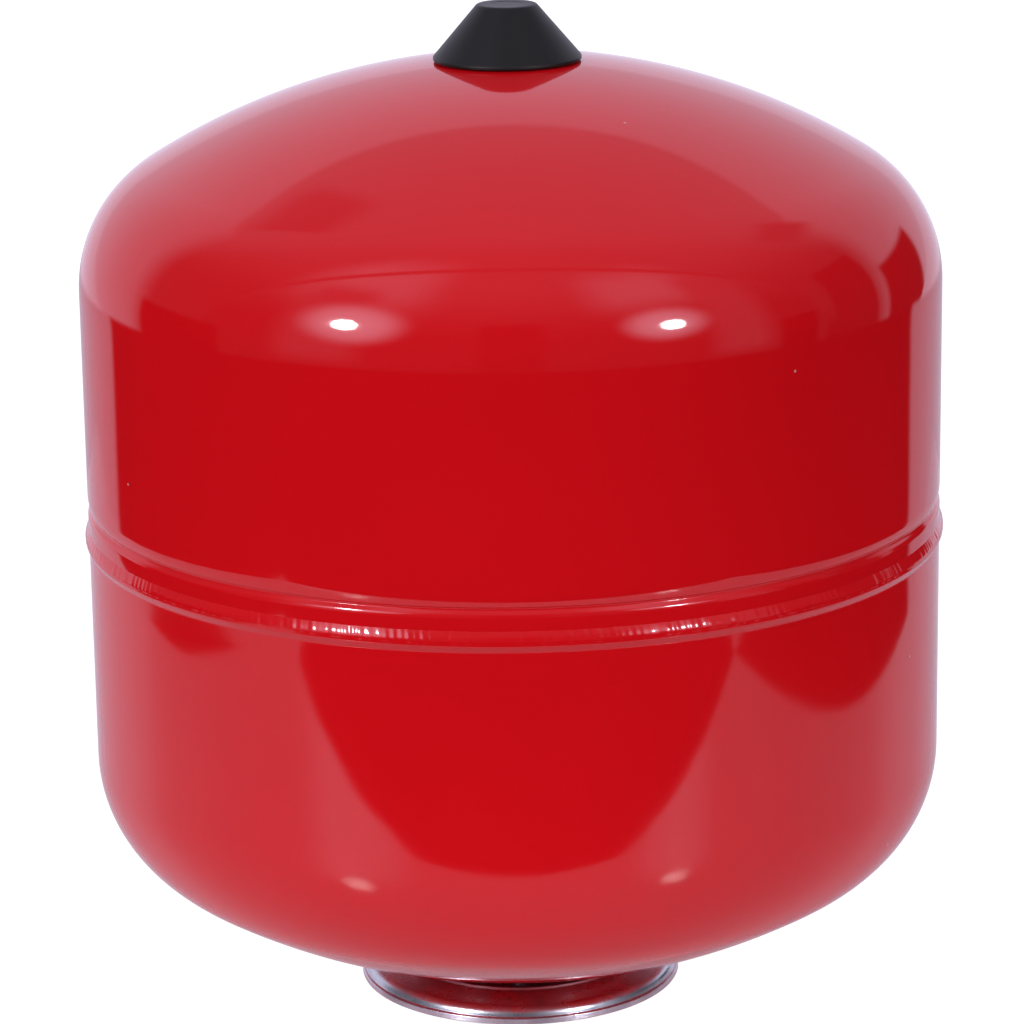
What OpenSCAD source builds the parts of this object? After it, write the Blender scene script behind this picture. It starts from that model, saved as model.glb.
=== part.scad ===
// Heating expansion vessel with a replaceable bladder.
//
// Two pressed steel shells are lap welded round the middle. The water bladder hangs in the lower
// neck, clamped by a plated counterflange that carries the pipe connection. The gas side is charged
// through a tyre-type valve on the crown, under a conical plastic cover.
//
// Millimetres, +Z up. The origin is the centre of the connection nipple's open end.

/* [Shells] */
// Outside diameter of the cylinder
body_d = 298; // [290:1:306]
// Sheet thickness of both shells
shell_t = 1.2; // [1:0.1:1.6]
// Straight height of the upper shell above the seam groove
upper_straight = 75; // [60:1:90]
// Straight height of the lower shell below the seam groove
lower_straight = 91.7; // [80:0.1:110]
// Knuckle radius where the cylinder turns into the crown
knuckle_r = 48; // [42:1:54]
// Crown radius of the upper dished end
upper_crown_r = 240; // [230:1:250]
// Crown radius of the lower dished end
lower_crown_r = 236; // [230:1:250]

/* [Seam] */
// Height of the rolled groove that stops the upper shell in the joint
groove_w = 7.8; // [7:0.1:8]
// Depth of the rolled groove
groove_depth = 1.5; // [1:0.1:1.7]
// How far the weld stands out from the cylinder
weld_crest = 1.4; // [1.3:0.1:1.8]

/* [Neck and counterflange] */
// Outside diameter of the counterflange brim
flange_d = 114.2; // [112:0.2:118]
// Sheet thickness of the counterflange
flange_t = 2.2; // [2:0.1:2.4]
// Depth of the counterflange from its clamping face to the foot of its brim
flange_depth = 8; // [7.6:0.1:8.4]
// Number of bolts round the neck
bolt_count = 6; // [4:1:8]
// Diameter of the bolt circle
bolt_pcd = 67; // [66:0.5:68]
// Thickness of the clamped bladder lip
lip_t = 1.8; // [1.6:0.1:3.2]

/* [Connection] */
// Crest radius of the G 3/4 pipe thread
thread_r = 13.22; // [13.1:0.01:13.3]
// Length of the full thread
thread_length = 15.5; // [14:0.5:15.5]
// Radius of the water way
water_way_r = 9.5; // [8:0.5:10]
// How far the nipple reaches below the brim
nipple_reach = 17; // [17:0.5:20]

/* [Gas valve] */
// Height of the conical cover
cover_h = 19; // [18:0.1:20]
// Radius of the cover's foot
cover_foot_r = 25.45; // [24:0.05:27]
// Radius of the cover's flat top
cover_top_r = 10; // [9.8:0.1:12]
// Wall thickness of the cover
cover_t = 1.6; // [1.4:0.1:1.6]
// Outside radius of the 8V1 valve thread
stem_thread_r = 3.85; // [3.8:0.01:3.9]

/* [Hidden] */
$fn = 96;

// Gap left between two pieces that are pushed or cast together
seat_gap = 0.05;
// Overshoot that keeps a cut from ending flush with a face
cut = 1;

// Colours
paint_red = [0.76, 0.06, 0.08];
plated_zinc = [0.78, 0.78, 0.82];
brass = [0.80, 0.65, 0.32];
black_plastic = [0.16, 0.16, 0.17];
black_rubber = [0.09, 0.09, 0.09];
valve_rubber = [0.45, 0.12, 0.10];
spring_steel = [0.62, 0.63, 0.65];

// Heights up the axis, from the nipple's open end
body_r = body_d / 2;
brim_z = nipple_reach;
plate_z = brim_z + flange_depth;
neck_z = plate_z + lip_t;
neck_drop = 1.1;
lower_pole_z = neck_z + neck_drop;
lower_knuckle_z = lower_pole_z + head_height(body_r, knuckle_r, lower_crown_r);
seam_z = lower_knuckle_z + lower_straight;
upper_knuckle_z = seam_z + upper_straight;
crown_z = upper_knuckle_z + head_height(body_r, knuckle_r, upper_crown_r);

// Seam, all measured down from the groove's nominal height
groove_z = seam_z - 0.7;
groove_r = (pow(groove_w / 2, 2) + pow(groove_depth, 2)) / (2 * groove_depth);
weld_top_z = seam_z - 8.1;
rim_top_z = seam_z - 11.5;
weld_foot_z = seam_z - 12.9;
upper_end_z = seam_z - 13.2;
joggle_end_z = seam_z - 15.7;
rim_r = body_r + seat_gap + shell_t;

// Neck
neck_hole_r = 38.05;
neck_spigot_r = neck_hole_r - seat_gap;
neck_flange_r = 41;
neck_flange_t = 4;
neck_top_z = neck_z + 9.4;
throat_r = 25.5;
tapped_depth = 8;
lip_r = 30;
bladder_t = 2.5;

// Counterflange
plate_r = 42.2;
plate_step = 1.6;
brim_in_r = flange_d / 2 - 2.3;
brim_round = 0.5;
shoulder_round = 3.4;
shoulder_r = brim_in_r - shoulder_round - 0.05;
shoulder_z = plate_z - 5.8;
shank_r = thread_r - 0.32;

// M6 fasteners
bolt_r = 3;
bolt_length = 14;
bolt_clear_r = 3.3;
bolt_tap_r = 3.03;
hex_af = 10;
hex_h = 4;
washer_r = 6;
washer_t = 1.6;
head_z = plate_z - flange_t - 2 * washer_t;

// Gas valve
boss_r = 8;
boss_z = crown_z + 1.35;
boss_length = 7;
boss_bore_r = 4.9;
o_ring_d = 0.9;
stem_shoulder_z = boss_z + o_ring_d;
stem_shoulder_h = 1.6;
stem_shoulder_r = 6.35;
stem_thread_z = stem_shoulder_z + stem_shoulder_h;
stem_top_z = stem_thread_z + 5;
stem_foot_z = boss_z - 8.6;
stem_mouth_r = 2.65;
stem_seat_r = 2.35;
stem_way_r = 2;
core_step_z = stem_top_z - 4.6;
seat_step_z = stem_top_z - 7.1;
core_top_z = stem_top_z - 0.6;
core_foot_z = stem_top_z - 9.4;
core_floor_t = 0.6;
core_barrel_r = 1.7;
seat_seal_h = 1.1;
seat_seal_r = 1.6;
seat_disc_h = 0.6;
seat_disc_r = 1.4;
pin_r = 0.75;
pin_top_z = stem_top_z - 0.3;
pin_foot_z = stem_top_z - 14.6;
pin_collar_z = core_step_z - 0.6;
pin_collar_r = 1.2;
pin_collar_h = 0.4;
spring_wire_d = 0.3;
spring_coil_r = 1.05;
spring_turns = 4;
cap_foot_z = stem_thread_z + 0.3;
cap_r = 4.9;
cap_h = 6.1;
cap_roof = 0.8;

// Cover
cover_gap = 0.6;
cover_rim_h = 1.2;
cover_z = crown_z - crown_drop(cover_foot_r, upper_crown_r) + cover_gap;
cover_top_z = cover_z + cover_h;
sleeve_r = stem_shoulder_r + 0.07;
sleeve_wall = 1.4;
sleeve_foot_z = boss_z + 0.4;
rib_count = 6;
rib_t = 1.2;

// Height of a dished end: a crown arc that meets the cylinder through a knuckle arc
function head_height(r, knuckle, crown) =
    crown - sqrt(pow(crown - knuckle, 2) - pow(r - knuckle, 2));
// How far a crown falls away from its pole at radius r
function crown_drop(r, crown) = crown - sqrt(crown * crown - r * r);
// Radius of the cover's outside at height h above its foot
function cover_outer_r(h) =
    cover_foot_r - (cover_foot_r - cover_top_r) * max(0, h - cover_rim_h) / (cover_h - cover_rim_h);
// Points of an arc from angle a to angle b
function arc_points(centre, r, a, b, steps) =
    [for (i = [0 : steps]) let (t = a + (b - a) * i / steps) centre + r * [cos(t), sin(t)]];

// Half outline of a dished end on a short cylinder; the cylinder's edge is at height 0
module head_outline(r, knuckle, crown, straight) {
    h = head_height(r, knuckle, crown);
    centre_h = h - crown;
    slope = atan2(-centre_h, r - knuckle);
    tangent = [crown * cos(slope), centre_h + crown * sin(slope)];
    translate([0, -straight])
        square([r, straight]);
    translate([r - knuckle, 0])
        intersection() {
            circle(knuckle, $fn = 240);
            square(knuckle);
        }
    intersection() {
        translate([0, centre_h])
            circle(crown, $fn = 720);
        polygon([[0, 0], [r - knuckle, 0], tangent, [tangent[0], h + cut], [0, h + cut]]);
    }
}

// Wall of a dished end, in half section
module head_wall(crown, straight) {
    difference() {
        head_outline(body_r, knuckle_r, crown, straight);
        head_outline(body_r - shell_t, knuckle_r - shell_t, crown - shell_t, straight + cut);
    }
}

// Copies the children round the bolt circle
module on_bolt_circle() {
    for (i = [0 : bolt_count - 1])
        rotate([0, 0, (i + 0.5) * 360 / bolt_count])
            translate([bolt_pcd / 2, 0, 0])
                children();
}

module upper_shell() {
    groove_centre = [body_r + groove_r - groove_depth, groove_z];
    color(paint_red)
        rotate_extrude($fn = 180)
            difference() {
                union() {
                    translate([0, upper_knuckle_z])
                        head_wall(upper_crown_r, upper_knuckle_z - upper_end_z);
                    intersection() {
                        translate(groove_centre)
                            circle(groove_r + shell_t);
                        translate([body_r - 2 * groove_depth - shell_t, groove_z - groove_w])
                            square([2 * groove_depth + shell_t, 2 * groove_w]);
                    }
                }
                translate(groove_centre)
                    circle(groove_r);
                translate([0, upper_knuckle_z])
                    square([boss_r + seat_gap, crown_z - upper_knuckle_z + cut]);
            }
}

// The lower shell's edge is opened out into a joggle that takes the upper shell's edge
module lower_shell() {
    color(paint_red)
        rotate_extrude($fn = 180)
            difference() {
                union() {
                    translate([0, lower_knuckle_z])
                        mirror([0, 1])
                            head_wall(lower_crown_r, joggle_end_z - lower_knuckle_z);
                    polygon([
                        [body_r - shell_t, joggle_end_z],
                        [body_r, joggle_end_z],
                        [rim_r, weld_foot_z],
                        [rim_r, rim_top_z],
                        [rim_r - shell_t, rim_top_z],
                        [rim_r - shell_t, weld_foot_z - shell_t / 2],
                        [body_r - shell_t, joggle_end_z - shell_t / 2]
                    ]);
                }
                square([neck_hole_r, lower_pole_z + 2 * shell_t + crown_drop(neck_hole_r, lower_crown_r)]);
            }
}

// Fillet weld that fills the corner between the upper shell and the joggled edge
module seam_weld() {
    crest_r = body_r + weld_crest;
    color(paint_red)
        rotate_extrude($fn = 180)
            polygon([
                [body_r, rim_top_z],
                [rim_r, rim_top_z],
                [rim_r, weld_foot_z + 0.3],
                [crest_r, weld_foot_z + 0.7],
                [crest_r, rim_top_z + 0.1],
                [body_r + 0.9 * weld_crest, rim_top_z + 0.9],
                [body_r + 0.55 * weld_crest, weld_top_z - 1.1],
                [body_r, weld_top_z]
            ]);
}

module valve_boss() {
    color(plated_zinc)
        difference() {
            translate([0, 0, boss_z - boss_length])
                cylinder(h = boss_length, r = boss_r);
            translate([0, 0, boss_z - boss_length - cut])
                cylinder(h = boss_length + 2 * cut, r = boss_bore_r);
        }
}

module boss_weld() {
    leg = 1.7;
    color(paint_red)
        rotate_extrude()
            polygon([
                [boss_r, crown_z - crown_drop(boss_r, upper_crown_r)],
                [boss_r + leg, crown_z - crown_drop(boss_r + leg, upper_crown_r)],
                [boss_r + 0.5 * leg, crown_z + 0.35 * leg],
                [boss_r, crown_z + 0.7 * leg]
            ]);
}

// Turned ring welded in the lower shell, tapped for the counterflange bolts
module neck_ring() {
    color(paint_red)
        difference() {
            union() {
                translate([0, 0, neck_z])
                    cylinder(h = neck_flange_t, r = neck_flange_r);
                translate([0, 0, neck_z])
                    cylinder(h = neck_top_z - neck_z, r = neck_spigot_r);
            }
            translate([0, 0, neck_z - cut])
                cylinder(h = neck_top_z - neck_z + 2 * cut, r = throat_r);
            on_bolt_circle()
                translate([0, 0, neck_z - cut])
                    cylinder(h = tapped_depth + cut, r = bolt_tap_r, $fn = 32);
        }
}

module neck_ring_weld() {
    leg = 3.2;
    color(paint_red)
        rotate_extrude()
            polygon([
                [neck_flange_r, lower_pole_z + crown_drop(neck_flange_r, lower_crown_r)],
                [neck_flange_r, neck_z + 1.6],
                [neck_flange_r + 0.55 * leg, neck_z + 3],
                [neck_flange_r + leg, lower_pole_z + crown_drop(neck_flange_r + leg, lower_crown_r)]
            ]);
}

// Moulded bladder, drawn with about four litres of water in it; its lip is the neck seal
module bladder() {
    bag_r = 90;
    bag_z = neck_top_z + 98;
    bag_straight = 30;
    module bag_outline(wall) {
        translate([0, bag_z])
            circle(bag_r - wall);
        translate([0, bag_z])
            square([bag_r - wall, bag_straight]);
        translate([0, bag_z + bag_straight])
            circle(bag_r - wall);
    }
    color(black_rubber)
        rotate_extrude()
            intersection() {
                difference() {
                    union() {
                        bag_outline(0);
                        translate([0, plate_z])
                            square([throat_r - 0.2, bag_z - plate_z - bag_r / 2]);
                        translate([0, plate_z])
                            square([lip_r, lip_t]);
                    }
                    bag_outline(bladder_t);
                    translate([0, plate_z - cut])
                        square([throat_r - 0.2 - bladder_t, bag_z - plate_z]);
                }
                square([body_r, crown_z]);
            }
}

// Pressed dish: raised clamping face, gently sloping plate, rounded shoulder, skirt and brim
module counterflange() {
    brim_corner_r = flange_d / 2 - brim_round;
    outer = concat(
        [[shank_r + seat_gap, plate_z], [plate_r - 0.6, plate_z]],
        arc_points([plate_r - 0.6, plate_z - 0.6], 0.6, 75, 15, 3),
        [[plate_r + 0.8, plate_z - plate_step]],
        arc_points([shoulder_r, shoulder_z], shoulder_round, 85, 11, 6),
        [[brim_in_r, brim_z + flange_t]],
        arc_points([brim_corner_r, brim_z + flange_t - brim_round], brim_round, 90, 0, 3),
        arc_points([brim_corner_r, brim_z + brim_round], brim_round, 0, -90, 3)
    );
    inner = concat(
        [[brim_in_r - flange_t, brim_z]],
        arc_points([shoulder_r, shoulder_z], shoulder_round - flange_t, 11, 85, 3),
        [
            [plate_r, plate_z - plate_step - flange_t],
            [plate_r - 1.6, plate_z - flange_t],
            [shank_r + seat_gap, plate_z - flange_t]
        ]
    );
    color(plated_zinc)
        difference() {
            rotate_extrude($fn = 128)
                polygon(concat(outer, inner));
            on_bolt_circle()
                translate([0, 0, plate_z - flange_t - cut])
                    cylinder(h = flange_t + 2 * cut, r = bolt_clear_r, $fn = 32);
        }
}

module connection_nipple() {
    chamfer = 1;
    color(plated_zinc)
        difference() {
            union() {
                cylinder(h = chamfer, r1 = thread_r - chamfer, r2 = thread_r);
                translate([0, 0, chamfer])
                    cylinder(h = thread_length, r = thread_r);
                translate([0, 0, chamfer + thread_length])
                    cylinder(h = plate_z - chamfer - thread_length, r = shank_r);
            }
            translate([0, 0, -cut])
                cylinder(h = plate_z + 2 * cut, r = water_way_r);
        }
}

module nipple_weld() {
    leg = 3.2;
    top_z = plate_z - flange_t;
    color(plated_zinc)
        rotate_extrude()
            polygon([
                [shank_r, top_z],
                [shank_r + leg, top_z],
                [shank_r + 0.6 * leg, top_z - 0.6 * leg],
                [shank_r, top_z - leg]
            ]);
}

// M6 hexagon screws, heads down, with chamfered heads
module flange_bolts() {
    hex_r = hex_af / 2 / cos(30);
    color(plated_zinc)
        on_bolt_circle()
            union() {
                translate([0, 0, head_z - hex_h])
                    intersection() {
                        cylinder(h = hex_h, r = hex_r, $fn = 6);
                        cylinder(h = hex_h, r1 = hex_af / 2 - 0.2, r2 = hex_af / 2 + 2.2 * hex_h, $fn = 48);
                    }
                translate([0, 0, head_z])
                    cylinder(h = bolt_length, r = bolt_r, $fn = 32);
            }
}

module flange_washers() {
    color(plated_zinc)
        on_bolt_circle()
            translate([0, 0, head_z + washer_t])
                difference() {
                    cylinder(h = washer_t, r = washer_r, $fn = 48);
                    translate([0, 0, -cut])
                        cylinder(h = washer_t + 2 * cut, r = bolt_r + 0.2, $fn = 32);
                }
}

// Split lock washers
module spring_washers() {
    slot = 1;
    color(spring_steel)
        on_bolt_circle()
            translate([0, 0, head_z])
                difference() {
                    cylinder(h = washer_t, r = washer_r - 0.2, $fn = 48);
                    translate([0, 0, -cut])
                        cylinder(h = washer_t + 2 * cut, r = bolt_r + 0.1, $fn = 32);
                    rotate([20, 0, 0])
                        translate([0, -slot / 2, -washer_t])
                            cube([washer_r + cut, slot, 3 * washer_t]);
                }
}

// Brass valve stem, screwed into the boss
module valve_stem() {
    color(brass)
        difference() {
            union() {
                translate([0, 0, stem_foot_z])
                    cylinder(h = stem_shoulder_z - stem_foot_z, r = boss_bore_r - seat_gap);
                translate([0, 0, stem_shoulder_z])
                    cylinder(h = stem_shoulder_h, r = stem_shoulder_r, $fn = 6);
                translate([0, 0, stem_thread_z])
                    cylinder(h = stem_top_z - stem_thread_z, r = stem_thread_r);
            }
            translate([0, 0, stem_foot_z - cut])
                cylinder(h = stem_top_z - stem_foot_z + 2 * cut, r = stem_way_r);
            translate([0, 0, seat_step_z])
                cylinder(h = stem_top_z - seat_step_z + cut, r = stem_seat_r);
            translate([0, 0, core_step_z])
                cylinder(h = stem_top_z - core_step_z + cut, r = stem_mouth_r);
        }
}

module stem_o_ring() {
    color(black_rubber)
        rotate_extrude()
            translate([boss_bore_r + o_ring_d / 2, boss_z + o_ring_d / 2])
                circle(o_ring_d / 2, $fn = 32);
}

// Screwed core: a threaded head over a thin barrel whose floor is the valve seat
module core_body() {
    color(brass)
        difference() {
            union() {
                translate([0, 0, core_foot_z])
                    cylinder(h = core_top_z - core_foot_z, r = core_barrel_r);
                translate([0, 0, core_step_z + 0.2])
                    cylinder(h = core_top_z - core_step_z - 0.2, r = stem_mouth_r - seat_gap);
            }
            translate([0, 0, core_foot_z - cut])
                cylinder(h = core_top_z - core_foot_z + 2 * cut, r = pin_r + 0.1);
            translate([0, 0, core_foot_z + core_floor_t])
                cylinder(h = core_step_z - core_foot_z - core_floor_t + 0.4, r = pin_collar_r + 0.1);
            translate([-stem_mouth_r, -0.5, core_top_z - 1])
                cube([2 * stem_mouth_r, 1, 1 + cut]);
        }
}

module core_gasket() {
    color(valve_rubber)
        translate([0, 0, seat_step_z + seat_gap])
            difference() {
                cylinder(h = core_step_z - seat_step_z - seat_gap, r = stem_seat_r - seat_gap);
                translate([0, 0, -cut])
                    cylinder(h = 4 * cut, r = core_barrel_r + seat_gap);
            }
}

// Valve pin with the collar that the spring pushes on and the disc that carries the seat seal
module core_pin() {
    color(spring_steel)
        union() {
            translate([0, 0, pin_foot_z])
                cylinder(h = pin_top_z - pin_foot_z, r = pin_r);
            translate([0, 0, pin_collar_z])
                cylinder(h = pin_collar_h, r = pin_collar_r);
            translate([0, 0, core_foot_z - seat_seal_h - seat_disc_h])
                cylinder(h = seat_disc_h, r = seat_disc_r);
        }
}

// Coil swept from its own centre line, between the barrel floor and the pin collar
module core_spring() {
    sides = 6;
    rings = 16 * spring_turns;
    wire_r = spring_wire_d / 2;
    low_z = core_foot_z + core_floor_t + wire_r;
    high_z = pin_collar_z - wire_r;
    points = [
        for (i = [0 : rings])
            let (turn = 360 * spring_turns * i / rings, z = low_z + (high_z - low_z) * i / rings)
            for (j = [0 : sides - 1])
                let (a = 360 * j / sides, r = spring_coil_r + wire_r * cos(a))
                [r * cos(turn), r * sin(turn), z + wire_r * sin(a)]
    ];
    walls = [
        for (i = [0 : rings - 1])
            for (j = [0 : sides - 1])
                let (k = (j + 1) % sides)
                [i * sides + j, i * sides + k, (i + 1) * sides + k, (i + 1) * sides + j]
    ];
    foot = [for (j = [sides - 1 : -1 : 0]) j];
    head = [for (j = [0 : sides - 1]) rings * sides + j];
    color(spring_steel)
        polyhedron(points, concat(walls, [foot, head]));
}

module core_seat_seal() {
    color(valve_rubber)
        translate([0, 0, core_foot_z - seat_seal_h])
            difference() {
                cylinder(h = seat_seal_h - seat_gap, r = seat_seal_r);
                translate([0, 0, -cut])
                    cylinder(h = 4 * cut, r = pin_r);
            }
}

// Moulded dust cap with grip flutes, screwed over the stem's mouth
module dust_cap() {
    flutes = 12;
    cavity_h = cap_h - cap_roof;
    color(black_plastic)
        difference() {
            translate([0, 0, cap_foot_z])
                cylinder(h = cap_h, r = cap_r);
            translate([0, 0, cap_foot_z - cut])
                cylinder(h = cavity_h + cut, r = stem_thread_r + 0.08);
            for (i = [0 : flutes - 1])
                rotate([0, 0, i * 360 / flutes])
                    translate([cap_r + 0.35, 0, cap_foot_z + 0.8])
                        cylinder(h = cap_h, r = 0.6, $fn = 16);
        }
}

module dust_cap_seal() {
    roof_z = cap_foot_z + cap_h - cap_roof;
    color(black_rubber)
        translate([0, 0, stem_top_z + seat_gap])
            difference() {
                cylinder(h = roof_z - stem_top_z - 2 * seat_gap, r = stem_thread_r);
                translate([0, 0, -cut])
                    cylinder(h = 3 * cut, r = 1.3);
            }
}

// Conical cover with a gripping sleeve for the stem's hexagon and stiffening ribs
module valve_cover() {
    slope = (cover_foot_r - cover_top_r) / (cover_h - cover_rim_h);
    wall_in = cover_t * sqrt(1 + slope * slope);
    roof_z = cover_top_z - cover_t;
    module inside_outline() {
        polygon([
            [0, cover_z - cut],
            [cover_foot_r - wall_in, cover_z - cut],
            [cover_foot_r - wall_in, cover_z + cover_rim_h],
            [cover_outer_r(cover_h - cover_t) - wall_in, roof_z],
            [0, roof_z]
        ]);
    }
    color(black_plastic)
        union() {
            rotate_extrude()
                difference() {
                    polygon(concat(
                        [[0, cover_z]],
                        arc_points([cover_foot_r - 0.4, cover_z + 0.4], 0.4, -90, 0, 3),
                        arc_points([cover_foot_r - 0.5, cover_z + cover_rim_h], 0.5, 0, 41, 3),
                        arc_points([cover_top_r - 0.6, cover_top_z - 1], 1, 41, 90, 4),
                        [[0, cover_top_z]]
                    ));
                    inside_outline();
                }
            difference() {
                translate([0, 0, sleeve_foot_z])
                    cylinder(h = roof_z - sleeve_foot_z + cover_t / 2, r = sleeve_r + sleeve_wall);
                translate([0, 0, sleeve_foot_z - cut])
                    cylinder(h = roof_z - sleeve_foot_z + cut, r = sleeve_r);
            }
            intersection() {
                for (i = [0 : rib_count - 1])
                    rotate([0, 0, (i + 0.5) * 360 / rib_count])
                        translate([sleeve_r + sleeve_wall / 2, -rib_t / 2, cover_z + 4.5])
                            cube([cover_foot_r, rib_t, cover_h - 4.5 - cover_t / 2]);
                rotate_extrude()
                    polygon([
                        [0, cover_z],
                        [cover_foot_r - wall_in / 2, cover_z],
                        [cover_foot_r - wall_in / 2, cover_z + cover_rim_h],
                        [cover_outer_r(cover_h) - wall_in / 2, cover_top_z],
                        [0, cover_top_z]
                    ]);
            }
        }
}

upper_shell();
lower_shell();
seam_weld();
valve_boss();
boss_weld();
neck_ring();
neck_ring_weld();
bladder();
counterflange();
connection_nipple();
nipple_weld();
flange_bolts();
flange_washers();
spring_washers();
valve_stem();
stem_o_ring();
core_body();
core_gasket();
core_pin();
core_spring();
core_seat_seal();
dust_cap();
dust_cap_seal();
valve_cover();
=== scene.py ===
import math

import bpy
import numpy as np
from mathutils import Matrix, Vector


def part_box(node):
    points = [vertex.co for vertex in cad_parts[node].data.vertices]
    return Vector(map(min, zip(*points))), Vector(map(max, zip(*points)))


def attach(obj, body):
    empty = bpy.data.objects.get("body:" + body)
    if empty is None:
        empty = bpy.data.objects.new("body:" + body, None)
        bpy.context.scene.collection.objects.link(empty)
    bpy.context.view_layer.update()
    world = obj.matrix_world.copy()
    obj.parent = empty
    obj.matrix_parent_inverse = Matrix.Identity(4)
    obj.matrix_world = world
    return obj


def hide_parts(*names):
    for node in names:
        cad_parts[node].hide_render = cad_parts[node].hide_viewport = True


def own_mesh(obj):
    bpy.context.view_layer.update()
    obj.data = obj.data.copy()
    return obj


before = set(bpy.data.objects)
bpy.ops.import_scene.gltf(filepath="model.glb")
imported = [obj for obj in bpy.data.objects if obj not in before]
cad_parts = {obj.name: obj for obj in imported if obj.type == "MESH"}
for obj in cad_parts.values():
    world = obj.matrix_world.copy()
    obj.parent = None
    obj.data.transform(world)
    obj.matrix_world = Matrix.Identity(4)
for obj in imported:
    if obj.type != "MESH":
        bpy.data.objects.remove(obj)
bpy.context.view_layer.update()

# Heating expansion vessel: two red enamelled shells, a plated counterflange with its nipple, and a
# gas valve under a conical cover. Lengths are in millimetres until new_piece() turns them to metres.
MM = 0.001

# Shells: sheet thickness, radii of the arcs they are pressed to, steps round a full turn
SHEET = 1.2
KNUCKLE = 48.0
UPPER_CROWN = 240.0
LOWER_CROWN = 236.0
NECK_HOLE = 38.05
AROUND = 400

# Seam, heights from the line of its groove
GROOVE_HEAD = 3.85
GROOVE_FOOT = -4.24
WELD_TOP = -8.1
RIM_TOP = -11.5
WELD_FOOT = -12.6
JOGGLE_HEAD = -12.8
UPPER_EDGE = -13.2
JOGGLE_FOOT = -15.8

# Neck: shank radius of the nipple, radius of the neck ring, circle, number and hole of the screws
SHANK = 12.9
NECK_RING = 41.0
SCREW_CIRCLE = 33.5
SCREW_COUNT = 6
SCREW_HOLE = 3.3

# Pipe thread G 3/4, valve thread 8V1 and screw thread M6: pitch and depth
PIPE_PITCH, PIPE_DEPTH = 1.814, 1.16
VALVE_PITCH, VALVE_DEPTH = 0.794, 0.45
SCREW_PITCH, SCREW_DEPTH = 1.0, 0.6


def span(node):
    """Lowest and highest corner of a CAD node, in millimetres."""
    low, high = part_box(node)
    return np.array(low) / MM, np.array(high) / MM


# ---------------------------------------------------------------- meshes


def trace(start, heading, *moves):
    """Outline bent like a wire: a move is (length,) for a straight run, or (radius, sweep) for an
    arc that turns the heading by sweep degrees, left turns positive."""
    points = [np.array([start], float)]
    turn = math.radians(heading)
    for move in moves:
        here = points[-1][-1]
        if len(move) == 1:
            points.append(here + move[0] * np.array([[math.cos(turn), math.sin(turn)]]))
            continue
        radius, sweep = move[0], math.radians(move[1])
        side = math.copysign(1.0, sweep)
        steps = max(3, int(abs(move[1]) / 3), int(abs(radius * sweep) / 4))
        angle = turn + np.linspace(0, sweep, steps + 1)[1:]
        arc = np.stack([np.sin(angle) - math.sin(turn), math.cos(turn) - np.cos(angle)], -1)
        points.append(here + side * radius * arc)
        turn += sweep
    return np.concatenate(points)


def inset(outline, depth):
    """The outline moved inwards by depth, square to its own direction at every point."""
    along = np.gradient(outline, axis=0)
    along /= np.linalg.norm(along, axis=1)[:, None]
    return outline - depth * np.stack([along[:, 1], -along[:, 0]], -1)


def filleted(corners, closed=True):
    """Outline through corners (r, z, radius), each corner rounded by an arc tangent to both sides."""
    points, count = [], len(corners)
    for i, (r, z, radius) in enumerate(corners):
        corner = np.array([r, z], float)
        if not radius or (not closed and i in (0, count - 1)):
            points.append(corner[None, :])
            continue
        back = np.array(corners[i - 1][:2]) - corner
        on = np.array(corners[(i + 1) % count][:2]) - corner
        back, on = back / np.linalg.norm(back), on / np.linalg.norm(on)
        half = math.acos(np.clip(back @ on, -1, 1)) / 2
        middle = (back + on) / np.linalg.norm(back + on)
        steps = max(2, int((math.pi - 2 * half) / math.radians(11)))
        centre = corner + middle * radius / math.sin(half)
        start = corner + back * radius / math.tan(half) - centre
        stop = corner + on * radius / math.tan(half) - centre
        t = np.linspace(0, 1, steps + 1)[:, None]
        sweep = math.pi - 2 * half
        mix = (np.sin((1 - t) * sweep) * start + np.sin(t * sweep) * stop) / math.sin(sweep)
        points.append(centre + mix)
    return np.concatenate(points)


def refined(outline, longest):
    """The outline with its long runs cut into pieces no longer than longest."""
    step = np.linalg.norm(np.diff(outline, axis=0), axis=1)
    parts = np.maximum(1, np.ceil(step / longest).astype(int))
    ends = np.concatenate([[0], np.cumsum(parts)])
    place = np.arange(ends[-1] + 1)
    return np.stack([np.interp(place, ends, outline[:, k]) for k in (0, 1)], -1)


def grid_faces(rows, columns, closed_rows=False):
    """Quads of a grid that is closed along its columns, and along its rows if asked."""
    i, j = np.meshgrid(
        np.arange(rows if closed_rows else rows - 1), np.arange(columns), indexing="ij"
    )
    below, right = (i + 1) % rows, (j + 1) % columns
    corners = (i * columns + j, i * columns + right, below * columns + right, below * columns + j)
    return np.stack(corners, -1).reshape(-1, 4)


def turned(outline, around=AROUND, shape=None):
    """Surface of revolution: point (r, z) at angle a goes to (r cos a, r sin a, z), r and z first
    passing through shape(a, r, z). An outline from axis to axis gets a pole at each end, and any
    other one is taken as closed."""
    poled = outline[0, 0] < 1e-6
    body = outline[1:-1] if poled else outline
    a = np.linspace(0, 2 * np.pi, around, endpoint=False)[None, :]
    r = np.repeat(body[:, :1], around, 1)
    z = np.repeat(body[:, 1:], around, 1)
    if shape:
        r, z = shape(a, r, z)
    points = np.stack([r * np.cos(a), r * np.sin(a), z + 0 * a], -1).reshape(-1, 3)
    faces = list(grid_faces(len(body), around, not poled))
    if poled:
        first, last = len(points), len(points) + 1
        ring = np.arange(around)
        after = (ring + 1) % around
        top = (len(body) - 1) * around
        faces += list(np.stack([np.full(around, first), after, ring], -1))
        faces += list(np.stack([np.full(around, last), top + ring, top + after], -1))
        poles = [[0, 0, outline[0, 1]], [0, 0, outline[-1, 1]]]
        points = np.concatenate([points, poles])
    return points, faces


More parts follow.
